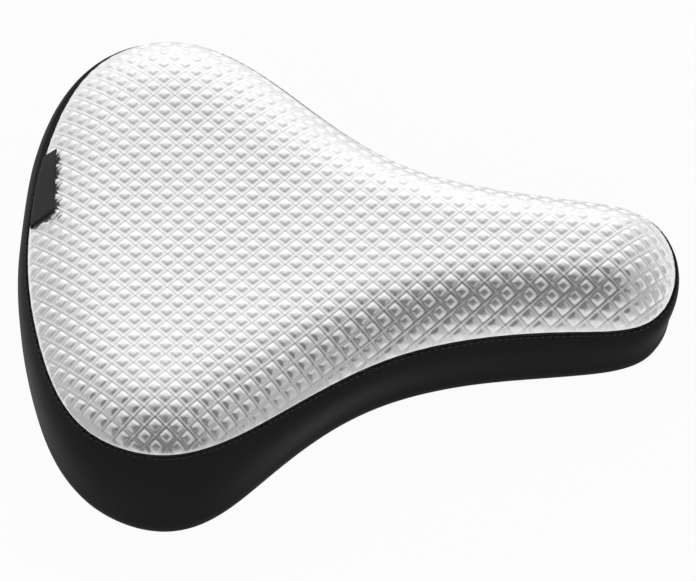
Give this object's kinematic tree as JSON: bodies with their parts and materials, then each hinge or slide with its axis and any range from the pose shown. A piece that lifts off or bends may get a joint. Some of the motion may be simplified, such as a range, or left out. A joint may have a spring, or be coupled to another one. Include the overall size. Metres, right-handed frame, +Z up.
{
  "type": "bicycle saddle cover",
  "caption": "Padded slip-on cover for a wide bicycle saddle: domed embossed vinyl top sewn to a plain side band with an elastic hem.",
  "frame": {"origin": "middle of the overall box, on the plane of the flat hem", "axes": "+X towards the nose, +Z up out of the padded top, Y across"},
  "size_m": [0.2764, 0.2378, 0.0577],
  "materials": {
    "silver_vinyl": "satin silver-white vinyl with an embossed diamond relief",
    "black_vinyl": "smooth satin black vinyl",
    "label_fabric": "plain black woven tape",
    "foam": "open-cell foam",
    "lining_fabric": "grey knitted backing",
    "tape_fabric": "black binding tape",
    "elastic": "black covered elastic cord"
  },
  "bodies": {
    "root": {"top_panel": "silver_vinyl", "side_band": "black_vinyl", "label": "label_fabric", "foam_pad": "foam", "lining": "lining_fabric", "seam_tape": "tape_fabric", "hem_elastic": "elastic"}
  },
  "joints": []
}
